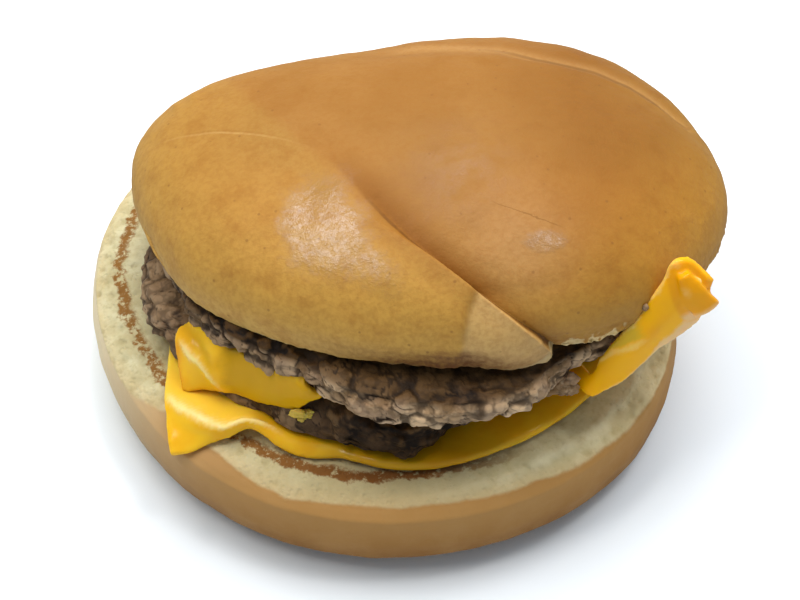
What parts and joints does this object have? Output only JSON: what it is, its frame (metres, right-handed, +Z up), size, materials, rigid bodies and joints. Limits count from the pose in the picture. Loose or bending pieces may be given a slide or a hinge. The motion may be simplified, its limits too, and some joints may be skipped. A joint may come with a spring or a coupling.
{
  "type": "cheeseburger",
  "caption": "Cheeseburger: creased top bun over stacked meat patties and melted cheese slices with hanging corners, on an open bottom bun.",
  "frame": {"origin": "middle of the heel's flat underside, on the surface that the burger stands on", "axes": "+Z up through the stack, -Y towards the side where the layers show, +X towards the raised cheese corner"},
  "size_m": [0.104, 0.1012, 0.0511],
  "materials": {
    "heel_bread": "soft pale crumb on the cut face with a broken toasted ring, matt golden-brown crust at the side",
    "crown_bread": "smooth golden-tan crust with a soft sheen and fine wrinkles",
    "beef": "rough ground meat, greyish brown, moist, with small fatty glints",
    "cheese": "melted, smooth and glossy, orange-yellow"
  },
  "bodies": {
    "root": {"heel": "heel_bread", "lower_cheese": "cheese", "lower_patty": "beef", "upper_cheese": "cheese", "upper_patty": "beef", "crown": "crown_bread"}
  },
  "joints": []
}
